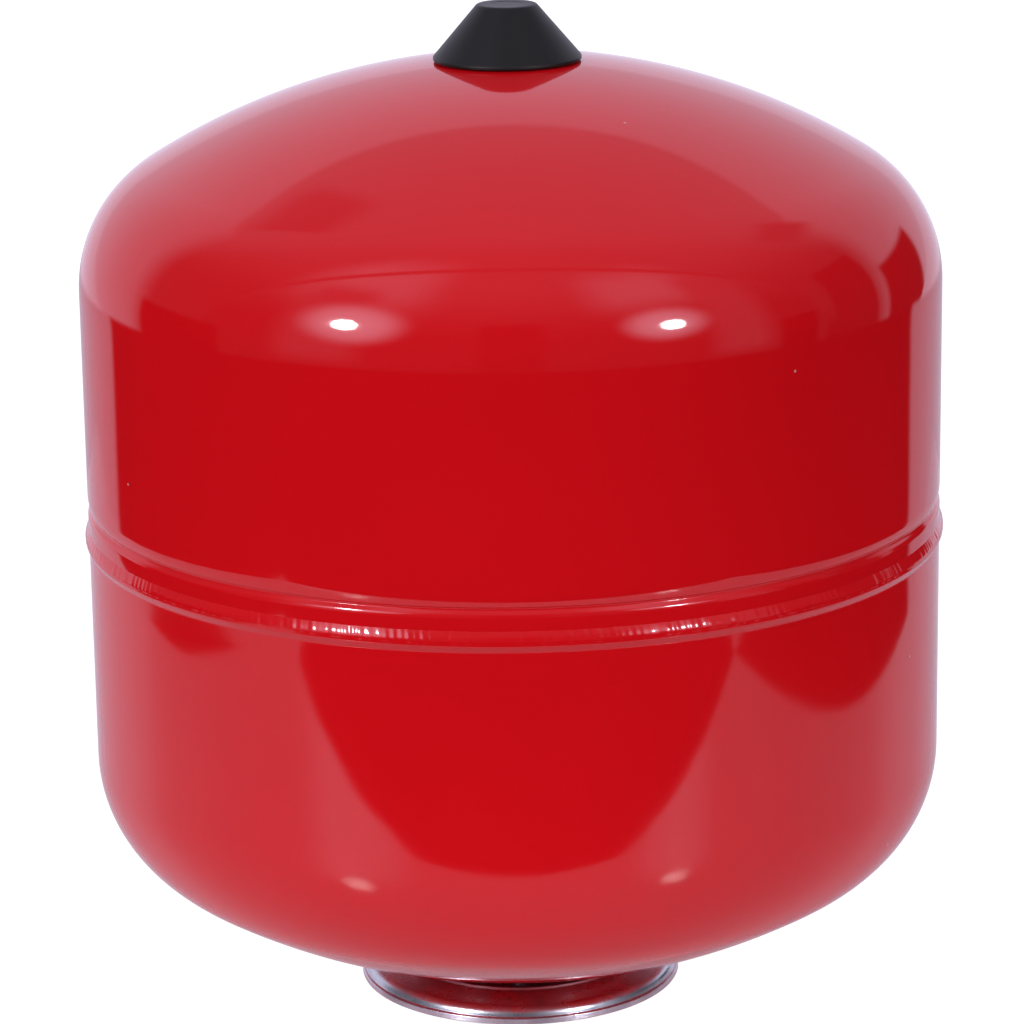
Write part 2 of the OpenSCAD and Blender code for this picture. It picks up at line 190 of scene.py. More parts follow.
def hexagon(across_flats, above):
    """shape for turned(): cuts radii larger than above down to a hexagon."""

    def shape(a, r, z):
        flat = a % (np.pi / 3) - np.pi / 6
        return np.where(r > above, np.minimum(r, across_flats / 2 / np.cos(flat)), r), z

    return shape


def threaded(crest_r, pitch, depth, low, high, after=None):
    """shape for turned(): a right-hand V thread on the rows at the crest radius between the heights
    low and high, r = crest - depth * v, where v rises and falls once per pitch and turn."""

    def shape(a, r, z):
        if after:
            r, z = after(a, r, z)
        phase = (z / pitch - a / (2 * np.pi)) % 1
        groove = np.clip(1.5 * np.abs(2 * phase - 1) - 0.2, 0, 1)
        fade = np.clip((z - low) / pitch, 0, 1) * np.clip((high - z) / pitch, 0, 1)
        return np.where(np.abs(r - crest_r) < 0.02, r - depth * groove * fade, r), z

    return shape


def welded(part):
    """The part with its coincident points made one."""
    points, faces = part
    kept, index = np.unique(np.round(points, 4), axis=0, return_inverse=True)
    return kept, [index.reshape(-1)[np.asarray(face)] for face in faces]


def drilled(outline, around, planes, hole_r, centre_r, count, reach):
    """turned(outline) with a ring of count round holes through its two flat faces, at the heights
    planes. Between centre_r - reach and centre_r + reach each face is a ring of patches: lines run
    straight from every point of a patch's border to the hole's circle."""
    points, faces = turned(outline, around)
    inner_r, outer_r = centre_r - reach, centre_r + reach
    quads = []
    for face in faces:
        corner = points[face]
        radius = np.hypot(corner[:, 0], corner[:, 1])
        flat = np.ptp(corner[:, 2]) < 1e-6 and min(abs(corner[0, 2] - z) for z in planes) < 1e-6
        between = radius.min() > inner_r - 1e-6 and radius.max() < outer_r + 1e-6
        if not (flat and between):
            quads.append(face)
    parts = [(points, quads)]
    across, side = around // count, 10
    turn = 2 * np.pi / count
    a = np.linspace(0, turn, across + 1)[:-1]
    r = np.linspace(0, 1, side + 1)[:-1]
    border_r = np.concatenate([
        np.full(across, outer_r), outer_r - r * 2 * reach, np.full(across, inner_r),
        inner_r + r * 2 * reach,
    ])
    border_a = np.concatenate([a, np.full(side, turn), turn - a, np.zeros(side)])
    for k in range(count):
        angle = border_a + k * turn
        border = border_r[:, None] * np.stack([np.cos(angle), np.sin(angle)], -1)
        middle = centre_r * np.array([math.cos((k + 0.5) * turn), math.sin((k + 0.5) * turn)])
        away = border - middle
        rim = middle + hole_r * away / np.linalg.norm(away, axis=1)[:, None]
        n = len(border)
        for z, upward in zip(planes, (False, True)):
            rows = [rim + t * (border - rim) for t in (0, 0.3, 0.65, 1)]
            flat_points = np.concatenate([np.c_[row, np.full(n, z)] for row in rows])
            patch = grid_faces(len(rows), n)
            parts.append((flat_points, list(patch[:, ::-1] if upward else patch)))
        wall = np.concatenate([np.c_[rim, np.full(n, z)] for z in planes])
        parts.append((wall, list(grid_faces(2, n)[:, ::-1])))
    return welded(joined(*parts))


def joined(*parts):
    """Several (points, faces) as one."""
    points, faces, start = [], [], 0
    for part_points, part_faces in parts:
        points.append(part_points)
        faces += [np.asarray(face) + start for face in part_faces]
        start += len(part_points)
    return np.concatenate(points), faces


def placed(part, x=0.0, y=0.0, turn=0.0):
    """A part turned about the vertical and moved sideways."""
    points, faces = part
    c, s = math.cos(turn), math.sin(turn)
    spin = np.array([[c, s, 0], [-s, c, 0], [0, 0, 1]])
    return points @ spin + np.array([x, y, 0]), faces


def new_piece(node, body, part, material, crease=32):
    """Makes the piece that stands for a CAD node, smooth except at edges sharper than crease."""
    points, faces = part
    mesh = bpy.data.meshes.new(node + "_form")
    mesh.from_pydata((points * MM).tolist(), [], [face.tolist() for face in faces])
    mesh.update()
    mesh.polygons.foreach_set("use_smooth", np.ones(len(mesh.polygons), bool))
    mesh.set_sharp_from_angle(angle=math.radians(crease))
    mesh.materials.append(material)
    piece = bpy.data.objects.new(node + "_form", mesh)
    bpy.context.scene.collection.objects.link(piece)
    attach(piece, body)
    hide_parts(node)
    return piece


# ---------------------------------------------------------------- materials


def linear(hex_colour):
    """sRGB hex to linear red, green, blue and alpha."""
    channels = [int(hex_colour[i : i + 2], 16) / 255 for i in (1, 3, 5)]
    return [c / 12.92 if c <= 0.04045 else ((c + 0.055) / 1.055) ** 2.4 for c in channels] + [1.0]


def feed(tree, node, inputs):
    """Sets a node's inputs. A value is a number, a colour, or a socket or node to link; a node
    stands for the first of its outputs that is in use."""
    for name, value in inputs.items():
        if isinstance(value, bpy.types.Node):
            value = next(socket for socket in value.outputs if socket.enabled)
        if isinstance(value, bpy.types.NodeSocket):
            tree.links.new(value, node.inputs[name])
        else:
            node.inputs[name].default_value = value
    return node


def add(tree, kind, inputs, **settings):
    """Adds a shader node with its settings and inputs."""
    node = tree.nodes.new("ShaderNode" + kind)
    for name, value in settings.items():
        setattr(node, name, value)
    return feed(tree, node, inputs)


def new_material(name):
    """A material with one Principled shader, its node tree, the shader and the Object coordinates."""
    material = bpy.data.materials.new(name)
    material.use_nodes = True
    tree = material.node_tree
    return material, tree, tree.nodes["Principled BSDF"], add(tree, "TexCoord", {}).outputs["Object"]


def per_mm(size):
    """Texture scale, in features per metre, of a pattern whose features are size millimetres."""
    return 1 / (size * MM)


def enamel_red():
    """Glossy baked powder coat on pressed steel: a deep red with a clear, sharp shine that the
    slight orange peel and the sheet's own waviness soften, and a few specks of dust."""
    material, tree, bsdf, coords = new_material("powder_coated_steel_red")
    tone = add(tree, "TexNoise", {"Vector": coords, "Scale": per_mm(70), "Detail": 3.0})
    colour = add(
        tree, "Mix", {"Factor": tone, "A": linear("#DF0F17"), "B": linear("#E7111A")},
        data_type="RGBA",
    )
    speck = add(tree, "TexVoronoi", {"Vector": coords, "Scale": per_mm(34)})
    dust = add(tree, "MapRange", {
        "Value": speck, "From Min": 0.010, "From Max": 0.016, "To Min": 0.75, "To Max": 0.0,
    })
    dusty = add(tree, "Mix", {"Factor": dust, "A": colour, "B": linear("#E6B9B4")}, data_type="RGBA")
    film = add(tree, "TexNoise", {"Vector": coords, "Scale": per_mm(24), "Detail": 5.0})
    rough = add(tree, "MapRange", {"Value": film, "To Min": 0.035, "To Max": 0.085})
    wave = add(tree, "TexNoise", {"Vector": coords, "Scale": per_mm(45), "Detail": 1.0})
    wavy = add(tree, "Bump", {"Height": wave, "Distance": 0.00012, "Strength": 1.0})
    peel = add(tree, "TexNoise", {"Vector": coords, "Scale": per_mm(2.6), "Detail": 2.0})
    skin = add(
        tree, "Bump", {"Height": peel, "Distance": 0.0000035, "Strength": 1.0, "Normal": wavy}
    )
    feed(tree, bsdf, {"Base Color": dusty, "Roughness": rough, "Normal": skin, "IOR": 1.5})
    return material


def bright_metal(name, light, dark, low, high, scratch=1.0):
    """Plated or turned metal: mirror-like with uneven polish, fine scratches and dull smudges. low
    and high are its roughness where it is best and least polished, scratch the depth of its lines."""
    material, tree, bsdf, coords = new_material(name)
    cloud = add(tree, "TexNoise", {"Vector": coords, "Scale": per_mm(16), "Detail": 6.0})
    blotch = add(tree, "MapRange", {"Value": cloud, "From Min": 0.42, "From Max": 0.66})
    colour = add(
        tree, "Mix", {"Factor": blotch, "A": linear(light), "B": linear(dark)}, data_type="RGBA"
    )
    rough = add(tree, "MapRange", {
        "Value": cloud, "From Min": 0.3, "From Max": 0.7, "To Min": low, "To Max": high,
    })
    stretch = add(
        tree, "Mapping", {"Vector": coords, "Scale": (1.0, 14.0, 3.0), "Rotation": (0.3, 0.2, 0.7)}
    )
    line = add(tree, "TexNoise", {"Vector": stretch, "Scale": per_mm(6), "Detail": 4.0})
    bump = add(tree, "Bump", {"Height": line, "Distance": 0.000012 * scratch, "Strength": 1.0})
    feed(tree, bsdf, {"Base Color": colour, "Metallic": 1.0, "Roughness": rough, "Normal": bump})
    return material


def moulded(name, base, worn, rough, grain, specular=0.5):
    """Moulded rubber or plastic: an even dark body, a fine sparked grain, dull patches from
    handling, and paler rubbed edges. grain is in millimetres, coarser than the real one so that it
    shows; the roughness wanders 0.08 to each side of rough."""
    material, tree, bsdf, coords = new_material(name)
    edge = add(tree, "NewGeometry", {}).outputs["Pointiness"]
    rub = add(tree, "MapRange", {"Value": edge, "From Min": 0.505, "From Max": 0.56, "To Max": 0.55})
    colour = add(
        tree, "Mix", {"Factor": rub, "A": linear(base), "B": linear(worn)}, data_type="RGBA"
    )
    patch = add(tree, "TexNoise", {"Vector": coords, "Scale": per_mm(12), "Detail": 5.0})
    dull = add(tree, "MapRange", {"Value": patch, "To Min": rough - 0.08, "To Max": rough + 0.08})
    spark = add(tree, "TexNoise", {"Vector": coords, "Scale": per_mm(grain), "Detail": 2.0})
    bump = add(tree, "Bump", {"Height": spark, "Distance": 0.00003, "Strength": 1.0})
    feed(tree, bsdf, {
        "Base Color": colour, "Roughness": dull, "Normal": bump, "IOR": 1.5,
        "Specular IOR Level": specular,
    })
    return material


RED = enamel_red()
# Bright zinc over pressed steel: a cool, slightly milky mirror with drawing lines
ZINC = bright_metal("zinc_plated_pressed_steel", "#D8D8E0", "#B4B4BE", 0.20, 0.38, 2.5)
# Bare steel from the lathe: grey and satin, with tool lines
STEEL = bright_metal("bare_turned_steel", "#A9A9AE", "#85858C", 0.25, 0.45, 2.0)
# Hardened spring steel: darker and evenly smooth
SPRING = bright_metal("drawn_spring_steel", "#B4B5BA", "#8E8F96", 0.18, 0.32)
# Turned brass: warm yellow, bright on its corners
BRASS = bright_metal("turned_brass", "#D6B25E", "#B08A3C", 0.18, 0.34)
# Polypropylene of the valve cover: near black, half matt
COVER = moulded("moulded_polypropylene_black", "#161513", "#3C3B3C", 0.46, 0.7, specular=0.36)
# Nylon of the dust cap: black, a little glossier
CAP = moulded("moulded_nylon_black", "#17171A", "#3A3A3E", 0.40, 0.6)
# EPDM of the bladder and seals: soft black with a dusty bloom
EPDM = moulded("moulded_epdm_rubber", "#131314", "#2A2A2B", 0.62, 1.2)
# Seal rubber of the valve: dull brick red
SEAL = moulded("valve_rubber_red", "#6E2A20", "#8C4A3C", 0.55, 0.5)


# ---------------------------------------------------------------- shells and seam

upper_low, upper_high = span("upper_shell")
lower_foot = span("lower_shell")[0][2]
boss_r, _, boss_top = span("valve_boss")[1]
body_r = round(upper_high[0], 0)
head_h = UPPER_CROWN - math.sqrt((UPPER_CROWN - KNUCKLE) ** 2 - (body_r - KNUCKLE) ** 2)
valve_hole_r = boss_r + 0.05
seam_z = upper_low[2] - UPPER_EDGE
crown_z = upper_high[2] + UPPER_CROWN - math.sqrt(UPPER_CROWN**2 - valve_hole_r**2)
knuckle_z = crown_z - head_h


def knuckle_angle(crown):
    """Degrees that the knuckle arc turns before it meets the crown arc."""
    return math.degrees(math.acos((body_r - KNUCKLE) / (crown - KNUCKLE)))


def shell_section(outline):
    """A sheet metal wall: the outer outline, then the same outline one sheet further in, reversed."""
    return np.concatenate([outline, inset(outline, SHEET)[::-1]])


def upper_shell():
    """Cylinder with the rolled stop groove, a knuckle arc and a crown arc, as one wall turned round
    the axis."""
    shoulder, run_in, groove, lip, roll = 3.2, 0.79, 0.9, 2.0, 15.8
    tangent = knuckle_angle(UPPER_CROWN)
    outline = trace(
        (body_r, seam_z + UPPER_EDGE), 90,
        (GROOVE_FOOT - UPPER_EDGE,), (shoulder, 33), (run_in,), (groove, -73), (lip, 26), (roll, 14),
        (knuckle_z - seam_z - GROOVE_HEAD,), (KNUCKLE, tangent),
        (UPPER_CROWN, math.degrees(math.acos(valve_hole_r / UPPER_CROWN)) - tangent),
    )
    new_piece("upper_shell", "vessel", turned(shell_section(refined(outline, 6))), RED)


def lower_shell():
    """Crown arc from the neck hole, knuckle arc, cylinder, and the edge opened out by an S-bend."""
    steep = math.degrees(math.acos(NECK_HOLE / LOWER_CROWN))
    tangent = knuckle_angle(LOWER_CROWN)
    bend, lean, step_out = 1.5, 30, 1.7
    rise = LOWER_CROWN * (math.sin(math.radians(steep)) - math.sin(math.radians(tangent)))
    straight = seam_z + JOGGLE_FOOT - lower_foot - rise - KNUCKLE * math.sin(math.radians(tangent))
    outline = trace(
        (NECK_HOLE, lower_foot), 90 - steep,
        (LOWER_CROWN, steep - tangent), (KNUCKLE, tangent), (straight,),
        (bend, -lean), (step_out,), (bend, lean), (RIM_TOP - JOGGLE_HEAD,),
    )
    new_piece("lower_shell", "vessel", turned(shell_section(refined(outline, 6))), RED)


def weld_ring(node, section, beads, height, across, steps=6, seed=1, material=RED):
    """A fillet weld: a closed section turned round the axis. Its free face rises and falls by
    height with every bead, the ripple lagging at the toes as the pool freezes, and wanders as the
    torch does, by a sum of sines. section lists (r, z, how free the point is)."""
    rng = np.random.default_rng(seed)
    waves = [
        (int(n), rng.uniform(0, 2 * np.pi), rng.uniform(0.3, 1)) for n in rng.integers(9, 420, 18)
    ]
    section = np.array(section)
    free = section[:, 2:]
    place = np.cumsum(np.concatenate([[0], np.linalg.norm(np.diff(section[:, :2], axis=0), axis=1)]))
    place = (place / place[-1])[:, None]

    def ripple(a, r, z):
        lag = 1.6 * (2 * place - 1) ** 2
        bead = np.abs(np.sin(beads * a / 2 + lag)) ** 0.7 - 0.65
        wander = sum(size * np.sin(n * a + phase + 3 * place) for n, phase, size in waves) / 5
        lift = height * free * (bead * (0.12 + 0.5 * wander) + wander)
        return r + lift * across[0], z + lift * across[1] + 0.12 * height * free * wander

    new_piece(node, "vessel", turned(section[:, :2], beads * steps, ripple), material, crease=70)


def seam_weld():
    """The lap weld of the two shells, lying on the joggled edge of the lower one."""
    rim_r = body_r + 0.05 + SHEET
    section = [
        (body_r - 0.2, seam_z + RIM_TOP, 0), (rim_r - 0.1, seam_z + RIM_TOP, 0),
        (rim_r - 0.1, seam_z + WELD_FOOT - 0.1, 0.2), (rim_r - 0.02, seam_z - 12.3, 0.8),
        (rim_r + 0.02, seam_z - 11.9, 1), (rim_r - 0.03, seam_z - 11.4, 1),
        (body_r + 1.05, seam_z - 10.8, 1), (body_r + 0.83, seam_z - 10.2, 0.9),
        (body_r + 0.58, seam_z - 9.6, 0.8), (body_r + 0.30, seam_z - 9.0, 0.7),
        (body_r + 0.08, seam_z - 8.5, 0.6), (body_r - 0.12, seam_z + WELD_TOP, 0.4),
        (body_r - 0.3, seam_z + WELD_TOP - 0.2, 0),
    ]
    weld_ring("seam_weld", section, 372, 0.075, (0.8, 0.6))


def small_welds():
    """Fillet welds of the gas valve boss, the neck ring and the nipple, with visible ripples."""
    r, high = boss_r, span("boss_weld")[1]
    corner = crown_z - UPPER_CROWN + math.sqrt(UPPER_CROWN**2 - (r + 1.7) ** 2)
    section = [
        (r - 0.05, high[2] - 1.0, 0), (r, corner - 0.1, 0), (r + 1.7, corner - 0.05, 0.2),
        (r + 1.25, corner + 0.35, 1), (r + 0.7, corner + 0.8, 1), (r + 0.25, high[2] - 0.2, 0.8),
        (r, high[2] - 0.02, 0.2),
    ]
    weld_ring("boss_weld", section, 40, 0.06, (0.5, 0.5), seed=2)
    low, high = span("neck_ring_weld")
    r, reach = NECK_RING, high[0]
    section = [
        (r, high[2], 0.2), (r - 0.02, low[2], 0), (r + 0.2, low[2] + 0.02, 0.2),
        (r + 0.8, low[2] + 0.5, 1), (r + 1.6, low[2] + 1.05, 1), (r + 2.5, low[2] + 1.6, 0.8),
        (reach, high[2] - 0.05, 0.2),
    ]
    weld_ring("neck_ring_weld", section, 110, 0.09, (0.6, -0.4), seed=3)
    low, high = span("nipple_weld")
    r, reach = SHANK, high[0]
    section = [
        (r, high[2], 0), (r, low[2], 0.2), (r + 0.7, low[2] + 0.35, 1), (r + 1.3, low[2] + 0.95, 1),
        (r + 2.0, low[2] + 1.75, 1), (r + 2.7, high[2] - 0.5, 0.8), (reach, high[2], 0),
    ]
    weld_ring("nipple_weld", section, 60, 0.09, (0.6, -0.6), seed=4, material=ZINC)


def counterflange():
    """Pressed dish as a closed section turned round the axis and drilled for its screws."""
    low, high = span("counterflange")
    top, foot, rim = high[2], low[2], high[0]
    under, bore, reach = top - 2.2, SHANK + 0.05, 5.0
    inner, outer = SCREW_CIRCLE - reach, SCREW_CIRCLE + reach
    corners = [
        (bore, top, 0), (inner, top, 0), (outer, top, 0), (42.2, top, 0.3),
        (42.7, top - 0.8, 0.5), (rim - 1.9, top - 2.6, 3.6), (rim - 1.2, foot + 2.3, 0.3),
        (rim, foot + 2.3, 0.4), (rim, foot, 0.4), (rim - 4.5, foot, 0.4),
        (rim - 5.2, under - 2.6, 1.4), (42.2, under - 0.8, 0.6), (40.6, under, 0.5),
        (outer, under, 0), (inner, under, 0), (bore, under, 0),
    ]
    outline = filleted(corners)[::-1]
    part = drilled(outline, 384, (under, top), SCREW_HOLE, SCREW_CIRCLE, SCREW_COUNT, reach)
    new_piece("counterflange", "vessel", part, ZINC)


def connection_nipple():
    """Tube whose outside carries the pipe thread."""
    crest, _, top = span("connection_nipple")[1]
    corners = [
        (9.5, top, 0), (9.5, 0.0, 0.5), (crest - 1.0, 0.0, 0.15), (crest, 1.0, 0),
        (crest, 16.5, 0), (SHANK, 16.9, 0.2), (SHANK, top, 0),
    ]
    shape = threaded(crest, PIPE_PITCH, PIPE_DEPTH, 0.4, 16.4)
    part = turned(refined(filleted(corners), 0.15), 144, shape)
    new_piece("connection_nipple", "vessel", part, ZINC, crease=50)


def on_screw_circle(part, turn=0.0):
    """A copy of the part at every screw, turned with the circle and then by turn."""
    angles = (np.arange(SCREW_COUNT) + 0.5) * 2 * np.pi / SCREW_COUNT
    places = [(SCREW_CIRCLE * math.cos(a), SCREW_CIRCLE * math.sin(a), turn + a) for a in angles]
    return joined(*(placed(part, *place) for place in places))


def flange_screws():
    """Hexagon screws: head r = min(hexagon, chamfer cone), M6 thread on the shank."""
    low, high = span("flange_bolts")
    foot, top = low[2], high[2]
    seat = foot + 4
    corners = [
        (0, foot + 0.25, 0), (3.6, foot + 0.25, 0.3), (3.9, foot, 0.1), (4.8, foot, 0.1),
        (5.75, foot + 0.45, 0), (5.9, foot + 1.2, 0), (5.9, seat - 0.35, 0), (5.5, seat - 0.15, 0),
        (4.9, seat - 0.12, 0), (4.8, seat, 0), (2.999, seat, 0), (2.999, top - 0.7, 0),
        (2.3, top, 0.15), (0, top, 0),
    ]
    shape = threaded(2.999, SCREW_PITCH, SCREW_DEPTH, seat + 3, top - 0.6, hexagon(10.0, 4.95))
    screw = turned(refined(filleted(corners, False), 0.2), 72, shape)
    new_piece("flange_bolts", "vessel", on_screw_circle(screw), ZINC, crease=35)


def washers():
    """Flat washers with eased edges, and split lock washers: a square section swept round an arc
    that stops short of closing, its end faces aslant."""
    low, high = span("flange_washers")
    foot, top = low[2], high[2]
    ring = [(3.2, top, 0.1), (3.2, foot, 0.15), (6.0, foot, 0.3), (6.0, top, 0.15)]
    flat = turned(filleted(ring), 96)
    new_piece("flange_washers", "vessel", on_screw_circle(flat), ZINC)

    low, high = span("spring_washers")
    foot, top = low[2], high[2]
    section = filleted([(3.1, top, 0.15), (3.1, foot, 0.15), (5.8, foot, 0.25), (5.8, top, 0.25)])
    n, steps, gap = len(section), 90, 0.12
    lean = 0.25 * (section[:, 1] - foot) / (top - foot)
    a = np.linspace(gap, 2 * np.pi - gap, steps)[:, None] + lean[None, :]
    points = np.stack(
        [section[:, 0] * np.cos(a), section[:, 0] * np.sin(a), section[:, 1] + 0 * a], -1
    ).reshape(-1, 3)
    faces = list(grid_faces(steps, n)[:, ::-1])
    faces += [np.arange(n), (steps - 1) * n + np.arange(n)[::-1]]
    new_piece("spring_washers", "vessel", on_screw_circle((points, faces), 0.3), SPRING)


def valve_stem():
    """Turned brass stem: round root, hexagon, threaded nose, stepped bore."""
    low, high = span("valve_stem")
    foot, top = low[2], high[2]
    shoulder, nose = boss_top + 0.9, top - 5
    corners = [
        (2.0, top - 7.1, 0), (2.0, foot, 0.2), (4.85, foot, 0.4), (4.85, shoulder, 0),
        (5.6, shoulder, 0.1), (6.35, shoulder + 0.2, 0), (6.35, nose - 0.2, 0), (5.6, nose, 0.1),
        (3.84, nose, 0), (3.84, top - 0.45, 0), (3.4, top, 0.1), (2.65, top, 0.15),
        (2.65, top - 4.6, 0), (2.35, top - 4.6, 0), (2.35, top - 7.1, 0),
    ]
    shape = threaded(3.84, VALVE_PITCH, VALVE_DEPTH, nose, top - 0.3, hexagon(11.0, 4.95))
    part = turned(refined(filleted(corners), 0.13), 96, shape)
    new_piece("valve_stem", "vessel", part, BRASS, crease=35)


def core_spring():
    """Round wire on a helix. The point at angle a along the coil and angle b round the wire stands
    coil + wire * cos(b) from the axis and wire * sin(b) above the helix."""
    low, high = span("core_spring")
    wire, coil, turns, around = 0.15, 1.05, 4, 14
    a = np.radians(np.linspace(0, 360 * turns, 64 * turns + 1))[:, None]
    b = np.radians(np.arange(around) * 360 / around)[None, :]
    r = coil + wire * np.cos(b)
    rise = low[2] + wire + (high[2] - low[2] - 2 * wire) * a / a[-1]
    z = rise + wire * np.sin(b)
    points = np.stack([r * np.cos(a), r * np.sin(a), z], axis=-1).reshape(-1, 3)
    ends = [np.arange(around), len(points) - 1 - np.arange(around)]
    faces = list(grid_faces(len(a), around)[:, ::-1]) + ends
    piece = new_piece("core_spring", "vessel", (points, faces), SPRING)
    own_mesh(piece)


def dust_cap():
    """Cap whose wall is drawn in by twelve grip flutes: r = R - 0.25 * max(0, cos 12a) ** 0.5."""
    low, high = span("dust_cap")
    foot, top, rim = low[2], high[2], high[0]
    corners = [
        (0, top - 0.8, 0), (3.93, top - 0.8, 0.15), (3.93, foot, 0.15), (rim, foot, 0.2),
        (rim, foot + 0.8, 0), (rim, top - 0.5, 0), (rim - 0.5, top, 0.35), (0, top, 0),
    ]

    def shape(a, r, z):
        flute = np.sqrt(np.maximum(0, np.cos(12 * a)))
        depth = 0.25 * np.clip((z - foot - 0.7) / 0.3, 0, 1) * (r > rim - 0.3)
        return r - depth * flute, z

    part = turned(refined(filleted(corners, False), 0.25), 240, shape)
    new_piece("dust_cap", "dust_cap", part, CAP, crease=40)


def valve_cover():
    """Cone with softened corners, its gripping sleeve, and six ribs that join the two."""
    low, high = span("valve_cover")
    foot, top, rim = low[2], high[2], high[0]
    crown_r, wall = 10.0, 2.1
    roof, sleeve = top - 1.6, boss_top + 0.4
    corners = [
        (0, roof, 0), (6.42, roof, 0.3), (6.42, sleeve, 0.3), (7.82, sleeve, 0.3),
        (7.82, roof, 0.4), (crown_r + 1.2 - wall, roof, 0.5), (rim - wall, foot + 1.3, 0.8),
        (rim - wall, foot, 0.25), (rim, foot, 0.35), (rim, foot + 1.1, 0.6),
        (crown_r + 0.2, top, 1.5), (5.6, top, 0.3), (5.3, top - 0.12, 0.2), (0, top - 0.12, 0),
    ]
    skin = turned(refined(filleted(corners, False), 1.2), 360)
    profile = filleted([
        (7.1, roof + 0.5, 0), (7.1, foot + 4.6, 0.2), (rim - 5.4, foot + 4.6, 0.2),
        (crown_r - 0.2, roof + 0.5, 0),
    ])
    n = len(profile)
    sides = [np.c_[profile[:, 0], np.full(n, y), profile[:, 1]] for y in (-0.6, 0.6)]
    faces = list(grid_faces(2, n)[:, ::-1]) + [np.arange(n), n + np.arange(n)[::-1]]
    rib = np.concatenate(sides), faces
    ribs = [placed(rib, turn=math.radians(30 + 60 * k)) for k in range(6)]
    new_piece("valve_cover", "valve_cover", joined(skin, *ribs), COVER, crease=45)


def bladder():
    """Moulded bag: a capsule on a throat and a clamped lip. Its wall sags in five soft folds,
    r = r0 * (1 + 0.012 * w * cos(5a)), w rising from 0 at the ends to 1 in the middle."""
    low, high = span("bladder")
    foot, top = low[2], high[2]
    bag_r, wall, straight, lip = 88.8, 2.5, 30.0, 1.8

    def half_bag(r, z, mouth):
        a = np.radians(np.linspace(90, 0, 24))[:, None]
        upper = np.c_[r * np.cos(a), z + straight + r * np.sin(a)]
        a = np.radians(np.linspace(0, -math.degrees(math.acos(mouth / r)), 30))[:, None]
        return np.concatenate([upper, np.c_[r * np.cos(a), z + r * np.sin(a)]])

    centre = top - 89.0 - straight
    outer = half_bag(bag_r, centre, 25.3)
    inner = half_bag(bag_r - wall, centre, 25.3 - wall)
    outline = np.concatenate([
        inner, [[22.8, foot + 0.2], [23.0, foot], [29.8, foot], [30, foot + 0.2]],
        [[30, foot + lip - 0.2], [29.8, foot + lip], [25.6, foot + lip], [25.3, foot + lip + 0.3]],
        outer[::-1],
    ])
    outline[0, 0] = outline[-1, 0] = 0.0

    def shape(a, r, z):
        w = np.clip((z - foot - 40) / 60, 0, 1) * np.clip((top - z) / 60, 0, 1)
        return r * (1 + 0.012 * w * np.cos(5 * a + 0.4 * np.sin(2 * a))), z

    new_piece("bladder", "vessel", turned(refined(outline, 5), 180, shape), EPDM)


upper_shell()
lower_shell()
seam_weld()
small_welds()
counterflange()
connection_nipple()
flange_screws()
washers()
valve_stem()
core_spring()
dust_cap()
valve_cover()
bladder()

# CAD nodes that are shown as they are
for node, material in {
    "valve_boss": STEEL, "neck_ring": RED, "stem_o_ring": EPDM, "core_body": BRASS,
    "core_gasket": SEAL, "core_pin": SPRING, "core_seat_seal": SEAL, "dust_cap_seal": EPDM,
}.items():
    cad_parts[node].data.materials.clear()
    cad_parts[node].data.materials.append(material)


# ---------------------------------------------------------------- studio

CAMERA_AT = Vector((0.0, -1.4347, 0.5806))
CAMERA_AIM = Vector((-0.0007, 0.0, 0.1873))
CAMERA_ROLL = math.radians(-0.85)
CAMERA_LENS = 148.6

# Round lamps: name, azimuth, elevation, radius, power, then reach and brightness of the glow
LAMPS = (("lamp_left", -43.5, 21, 0.11, 8.4, 20, 3.4), ("lamp_right", 41.5, 18.5, 0.10, 5.8, 16, 3.2))
LAMP_DISTANCE = 1.9

# Windows, screens and dark furniture: azimuth, elevation, half width, half height, soft edge, level
PATCHES = (
    (-48, 52, 8, 4, 24, 1.15), (42, 46, 6, 3, 20, 1.1), (62, 20, 3, 22, 10, 0.42),
    (-52, 20, 5, 20, 12, 0.42), (-97, -6, 14, 9, 3, 0.01), (80, -8, 5, 14, 2, 0.01),
    (102, 4, 8, 20, 2, 0.04), (128, -4, 10, 14, 3, 0.02), (-140, 54, 8, 3, 6, 0.28),
    (118, 45, 7, 2, 6, 0.26), (0, 5, 6, 18, 5, 0.05),
)


def set_camera():
    """A long lens, a little above the vessel, held nearly level."""
    data = bpy.data.cameras.new("camera")
    data.lens = CAMERA_LENS
    data.sensor_width = 36.0
    data.clip_end = 50
    camera = bpy.data.objects.new("camera", data)
    bpy.context.scene.collection.objects.link(camera)
    look = (CAMERA_AIM - CAMERA_AT).to_track_quat("-Z", "Y").to_matrix().to_4x4()
    camera.matrix_world = Matrix.Translation(CAMERA_AT) @ look @ Matrix.Rotation(CAMERA_ROLL, 4, "Z")
    bpy.context.scene.camera = camera


def direction(azimuth, elevation):
    """The unit vector towards an azimuth, 0 in front and positive to the right, and an elevation."""
    a, e = math.radians(azimuth), math.radians(elevation)
    return Vector((math.sin(a) * math.cos(e), -math.cos(a) * math.cos(e), math.sin(e)))


def round_lamp(name, azimuth, elevation, radius, power):
    """A round lamp that points at the middle of the vessel."""
    data = bpy.data.lights.new(name, "AREA")
    data.shape = "DISK"
    data.size = 2 * radius
    data.energy = power
    lamp = bpy.data.objects.new(name, data)
    bpy.context.scene.collection.objects.link(lamp)
    way = direction(azimuth, elevation)
    lamp.location = Vector((0, 0, 0.2)) + LAMP_DISTANCE * way
    lamp.rotation_euler = (-way).to_track_quat("-Z", "Y").to_euler()
    lamp.visible_camera = False


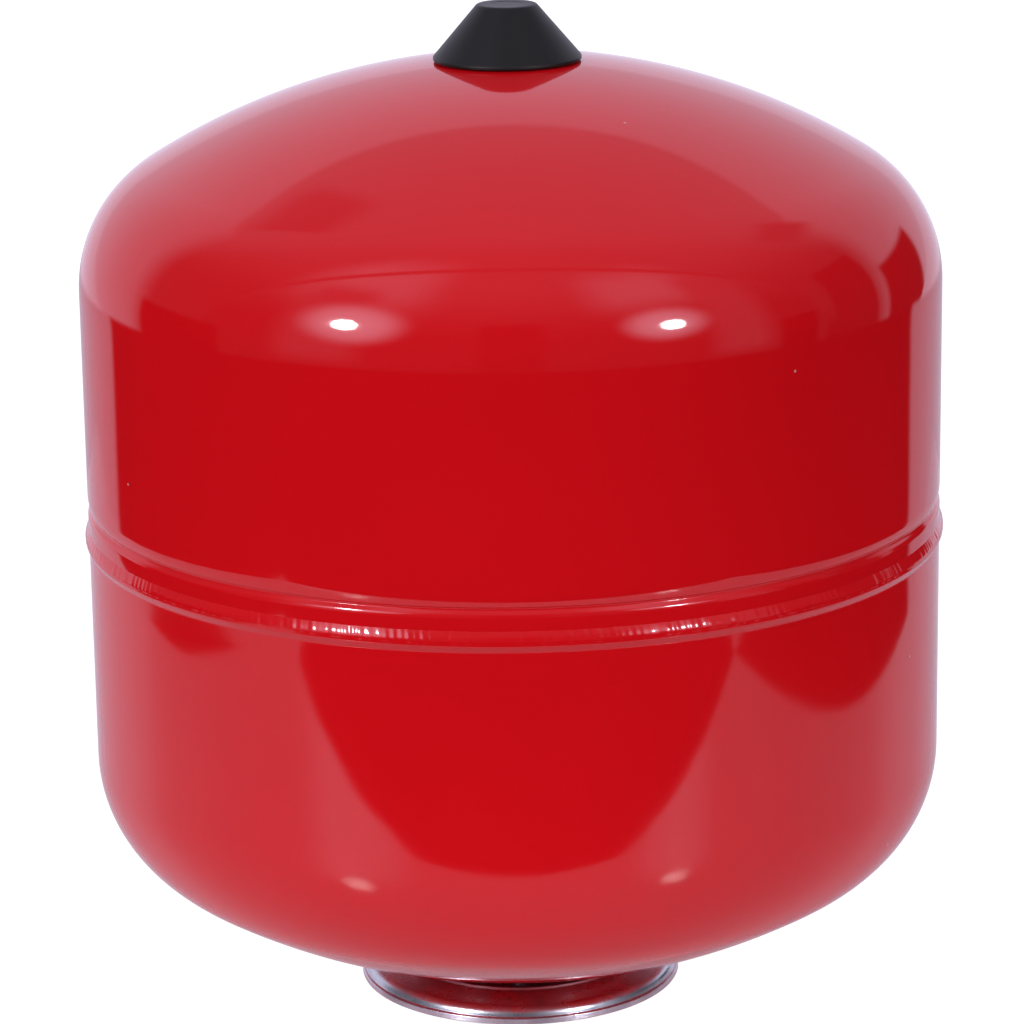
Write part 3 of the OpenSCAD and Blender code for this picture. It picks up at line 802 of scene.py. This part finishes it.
def stage_plane(name, z, material, x_range, y_range):
    """A flat rectangle of the set."""
    (x0, x1), (y0, y1) = x_range, y_range
    mesh = bpy.data.meshes.new(name)
    corners = [(x0, y0, z), (x1, y0, z), (x1, y1, z), (x0, y1, z)]
    mesh.from_pydata(corners, [], [(0, 1, 2, 3)])
    mesh.materials.append(material)
    sheet = bpy.data.objects.new(name, mesh)
    bpy.context.scene.collection.objects.link(sheet)
    return sheet


def set_room():
    """The room that the gloss shows, as layers of brightness laid over one another, and a glow round
    each lamp. Every layer fades in between the two values of each of its edges. The camera itself
    sees plain white."""
    world = bpy.data.worlds.new("room")
    bpy.context.scene.world = world
    world.use_nodes = True
    tree, rad = world.node_tree, math.radians
    way = add(tree, "TexCoord", {}).outputs["Generated"]
    x, y, z = add(tree, "SeparateXYZ", {"Vector": way}).outputs
    front = add(tree, "Math", {0: y, 1: -1.0}, operation="MULTIPLY")
    azimuth = add(tree, "Math", {0: x, 1: front}, operation="ARCTAN2")
    elevation = add(tree, "Math", {0: z}, operation="ARCSINE")
    # up and back, up and down from the ceiling's edge, and slope of the sight line in front
    up_back = add(tree, "Math", {0: y, 1: z}, operation="ADD")
    down_back = add(tree, "Math", {0: y, 1: z}, operation="SUBTRACT")
    ahead = add(tree, "Math", {0: front, 1: 0.001}, operation="MAXIMUM")
    slope = add(tree, "Math", {0: z, 1: ahead}, operation="DIVIDE")
    # how far back a direction lies in plan, and the backdrop's slanting edge
    square = add(tree, "Math", {0: z, 1: z}, operation="MULTIPLY")
    rest = add(tree, "Math", {0: 1.0, 1: square}, operation="SUBTRACT")
    level_run = add(tree, "Math", {0: rest}, operation="SQRT")
    across = add(tree, "Math", {0: y, 1: level_run}, operation="DIVIDE")
    slant = add(tree, "Math", {0: z, 1: 0.64}, operation="MULTIPLY")
    backdrop = add(tree, "Math", {0: across, 1: slant}, operation="SUBTRACT")
    front_wall = add(tree, "MapRange", {
        "Value": elevation, "From Min": rad(12), "From Max": rad(58), "To Min": 0.10, "To Max": 0.42,
    }, interpolation_type="SMOOTHSTEP")
    ground = add(tree, "MapRange", {
        "Value": across, "From Min": 0.635, "From Max": 0.675, "To Min": 0.01, "To Max": 0.6,
    }, interpolation_type="SMOOTHSTEP")

    layers = [
        (0.14, [(elevation, rad(-8), rad(8))]),
        (0.40, [(elevation, rad(22), rad(62))]),
        (0.50, [(up_back, 0.75, 1.15)]),
        (0.80, [(z, 0.715, 0.692), (y, 0.30, 0.50)]),
        (front_wall, [(slope, 2.95, 2.85), (front, 0.0, 0.02)]),
    ]
    for a, e, a_half, e_half, soft, level in PATCHES:
        edges = []
        for angle, centre, half in ((azimuth, a, a_half), (elevation, e, e_half)):
            offset = add(tree, "Math", {0: angle, 1: rad(centre)}, operation="SUBTRACT")
            apart = add(tree, "Math", {0: offset}, operation="ABSOLUTE")
            edges.append((apart, rad(half + soft), rad(half)))
        layers.append((level, edges))
    layers += [
        (0.26, [(slope, 2.45, 2.6), (slope, 3.05, 2.9), (front, 0.12, 0.25)]),
        (0.95, [(backdrop, 0.835, 0.845), (down_back, -0.01, 0.01)]),
        (ground, [(elevation, rad(-9), rad(-11))]),
    ]
    # a lamp's glow falls off faster than a plain layer's edge
    for _, a, e, _, _, reach, glow in LAMPS:
        near = add(tree, "VectorMath", {0: way, 1: direction(a, e)}, operation="DOT_PRODUCT")
        halo = (near, math.cos(rad(reach)), math.cos(rad(0.2 * reach)))
        layers.append((glow, [halo], 2.5))
    room = 0.03
    for level, edges, *fall_off in layers:
        mask = 1.0
        for value, clear, full in edges:
            edge = add(
                tree, "MapRange", {"Value": value, "From Min": clear, "From Max": full},
                interpolation_type="SMOOTHSTEP",
            )
            mask = add(tree, "Math", {0: mask, 1: edge}, operation="MULTIPLY")
        for power in fall_off:
            mask = add(tree, "Math", {0: mask, 1: power}, operation="POWER")
        room = add(tree, "Mix", {"Factor": mask, "A": room, "B": level})
    seen = add(tree, "LightPath", {}).outputs["Is Camera Ray"]
    shown = add(tree, "Mix", {"Factor": seen, "A": room, "B": 1.1})
    feed(tree, tree.nodes["Background"], {"Color": (0.95, 0.93, 1.16, 1), "Strength": shown})


def set_studio():
    """Two round lamps in front, a pale floor that only the camera sees, clear from below, and a
    white table top that only the gloss sees."""
    for name, azimuth, elevation, radius, power, _, _ in LAMPS:
        round_lamp(name, azimuth, elevation, radius, power)
    # uncoated paper: matt, and mottled just enough not to look printed
    paper, tree, bsdf, coords = new_material("white_paper")
    fibre = add(tree, "TexNoise", {"Vector": coords, "Scale": 40.0, "Detail": 3.0})
    tint = add(
        tree, "Mix", {"Factor": fibre, "A": linear("#707070"), "B": linear("#747474")},
        data_type="RGBA",
    )
    from_below = add(tree, "NewGeometry", {}).outputs["Backfacing"]
    clear = add(tree, "Math", {0: 1.0, 1: from_below}, operation="SUBTRACT")
    feed(tree, bsdf, {
        "Base Color": tint, "Roughness": 0.9, "Alpha": clear,
        "Emission Color": linear("#FFFFFF"), "Emission Strength": 1.0,
    })
    floor = stage_plane("floor", -0.0005, paper, (-6, 6), (-4, 8))
    floor.visible_glossy = False
    floor.visible_diffuse = False
    # pressed laminate: half glossy, so the lower end gets soft lights back from it
    laminate, tree, bsdf, _ = new_material("white_laminate")
    feed(tree, bsdf, {
        "Base Color": linear("#EDEDF0"), "Roughness": 0.15,
        "Emission Color": linear("#EFEFF6"), "Emission Strength": 0.09,
    })
    table = stage_plane("table", -0.001, laminate, (-0.66, 0.56), (-0.42, 0.75))
    table.visible_camera = False


set_camera()
set_room()
set_studio()
bpy.context.scene.view_settings.view_transform = "Standard"
